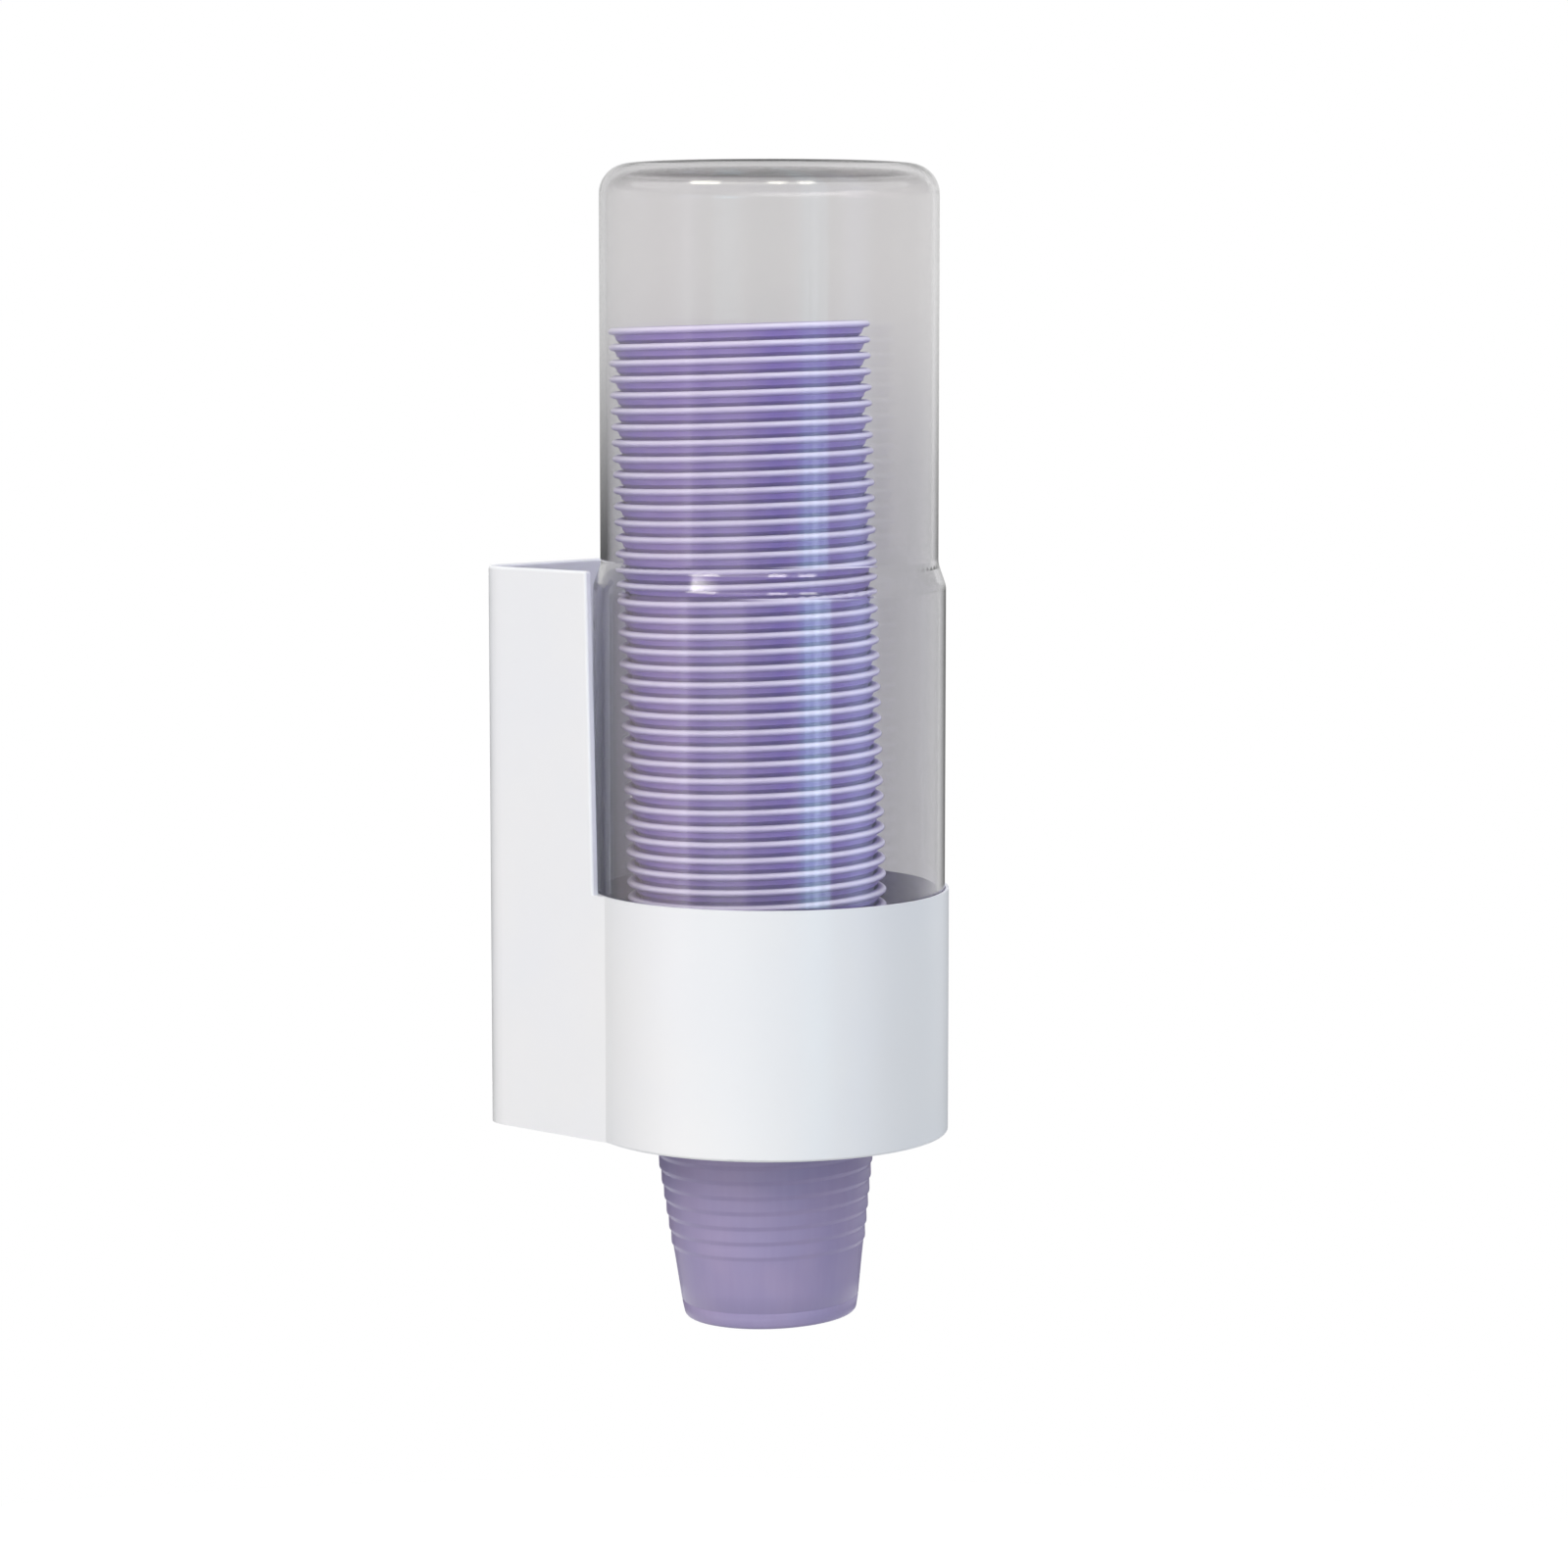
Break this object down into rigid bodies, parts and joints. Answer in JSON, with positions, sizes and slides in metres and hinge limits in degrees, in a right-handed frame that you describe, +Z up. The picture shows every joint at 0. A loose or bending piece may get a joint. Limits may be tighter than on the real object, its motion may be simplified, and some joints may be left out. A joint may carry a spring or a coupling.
{
  "type": "wall-mounted cup dispenser",
  "caption": "White wall-mounted cup dispenser: open-backed channel with a round collar, a clear stepped tube over a leaning nest of lavender cups, the lowest cup hanging from the collar.",
  "frame": {"origin": "on the wall face of the housing, at the centre of the four wall screw holes", "axes": "+Z up along the tube, +Y into the wall, -Y out into the room, +X to the viewer's right when facing the front"},
  "size_m": [0.097, 0.1162, 0.3113],
  "materials": {
    "housing": "moulded white plastic, satin gloss",
    "cover": "clear moulded plastic with a faint smoke tint",
    "finger_ring": "soft off-white rubber",
    "clamp_ring": "moulded white plastic",
    "clamp_screws": "zinc plated steel",
    "cup": "thin lavender plastic, satin"
  },
  "bodies": {
    "wall_housing": {"housing": "housing", "finger_ring": "finger_ring", "clamp_ring": "clamp_ring", "clamp_screws": "clamp_screws"},
    "cover": {"cover": "cover"},
    "waiting_nest": {"waiting_cup_01": "cup", "waiting_cup_02": "cup", "waiting_cup_03": "cup", "waiting_cup_04": "cup", "waiting_cup_05": "cup", "waiting_cup_06": "cup", "waiting_cup_07": "cup", "waiting_cup_08": "cup", "waiting_cup_09": "cup", "waiting_cup_10": "cup", "waiting_cup_11": "cup", "waiting_cup_12": "cup", "waiting_cup_13": "cup", "waiting_cup_14": "cup", "waiting_cup_15": "cup", "waiting_cup_16": "cup", "waiting_cup_17": "cup", "waiting_cup_18": "cup", "waiting_cup_19": "cup", "waiting_cup_20": "cup", "waiting_cup_21": "cup", "waiting_cup_22": "cup", "waiting_cup_23": "cup", "waiting_cup_24": "cup", "waiting_cup_25": "cup", "waiting_cup_26": "cup", "waiting_cup_27": "cup", "waiting_cup_28": "cup", "waiting_cup_29": "cup", "waiting_cup_30": "cup", "waiting_cup_31": "cup", "waiting_cup_32": "cup", "waiting_cup_33": "cup", "waiting_cup_34": "cup", "waiting_cup_35": "cup", "waiting_cup_36": "cup", "waiting_cup_37": "cup", "waiting_cup_38": "cup", "waiting_cup_39": "cup", "waiting_cup_40": "cup", "waiting_cup_41": "cup", "waiting_cup_42": "cup", "waiting_cup_43": "cup", "waiting_cup_44": "cup", "waiting_cup_45": "cup", "waiting_cup_46": "cup", "waiting_cup_47": "cup"},
    "serving_cup": {"serving_cup": "cup"}
  },
  "joints": [
    {"name": "cover_lift", "type": "slide", "parent": "wall_housing", "child": "cover", "axis": [0, 0, 1], "range_m": [0, 0.2]},
    {"name": "nest_drop", "type": "slide", "parent": "wall_housing", "child": "waiting_nest", "axis": [0.021, -0.0237, -0.9995], "range_m": [0, 0.00422], "deforming": ["finger_ring"]},
    {"name": "cup_pull", "type": "slide", "parent": "waiting_nest", "child": "serving_cup", "axis": [0.021, -0.0237, -0.9995], "range_m": [0, 0.07], "deforming": ["finger_ring"]}
  ]
}
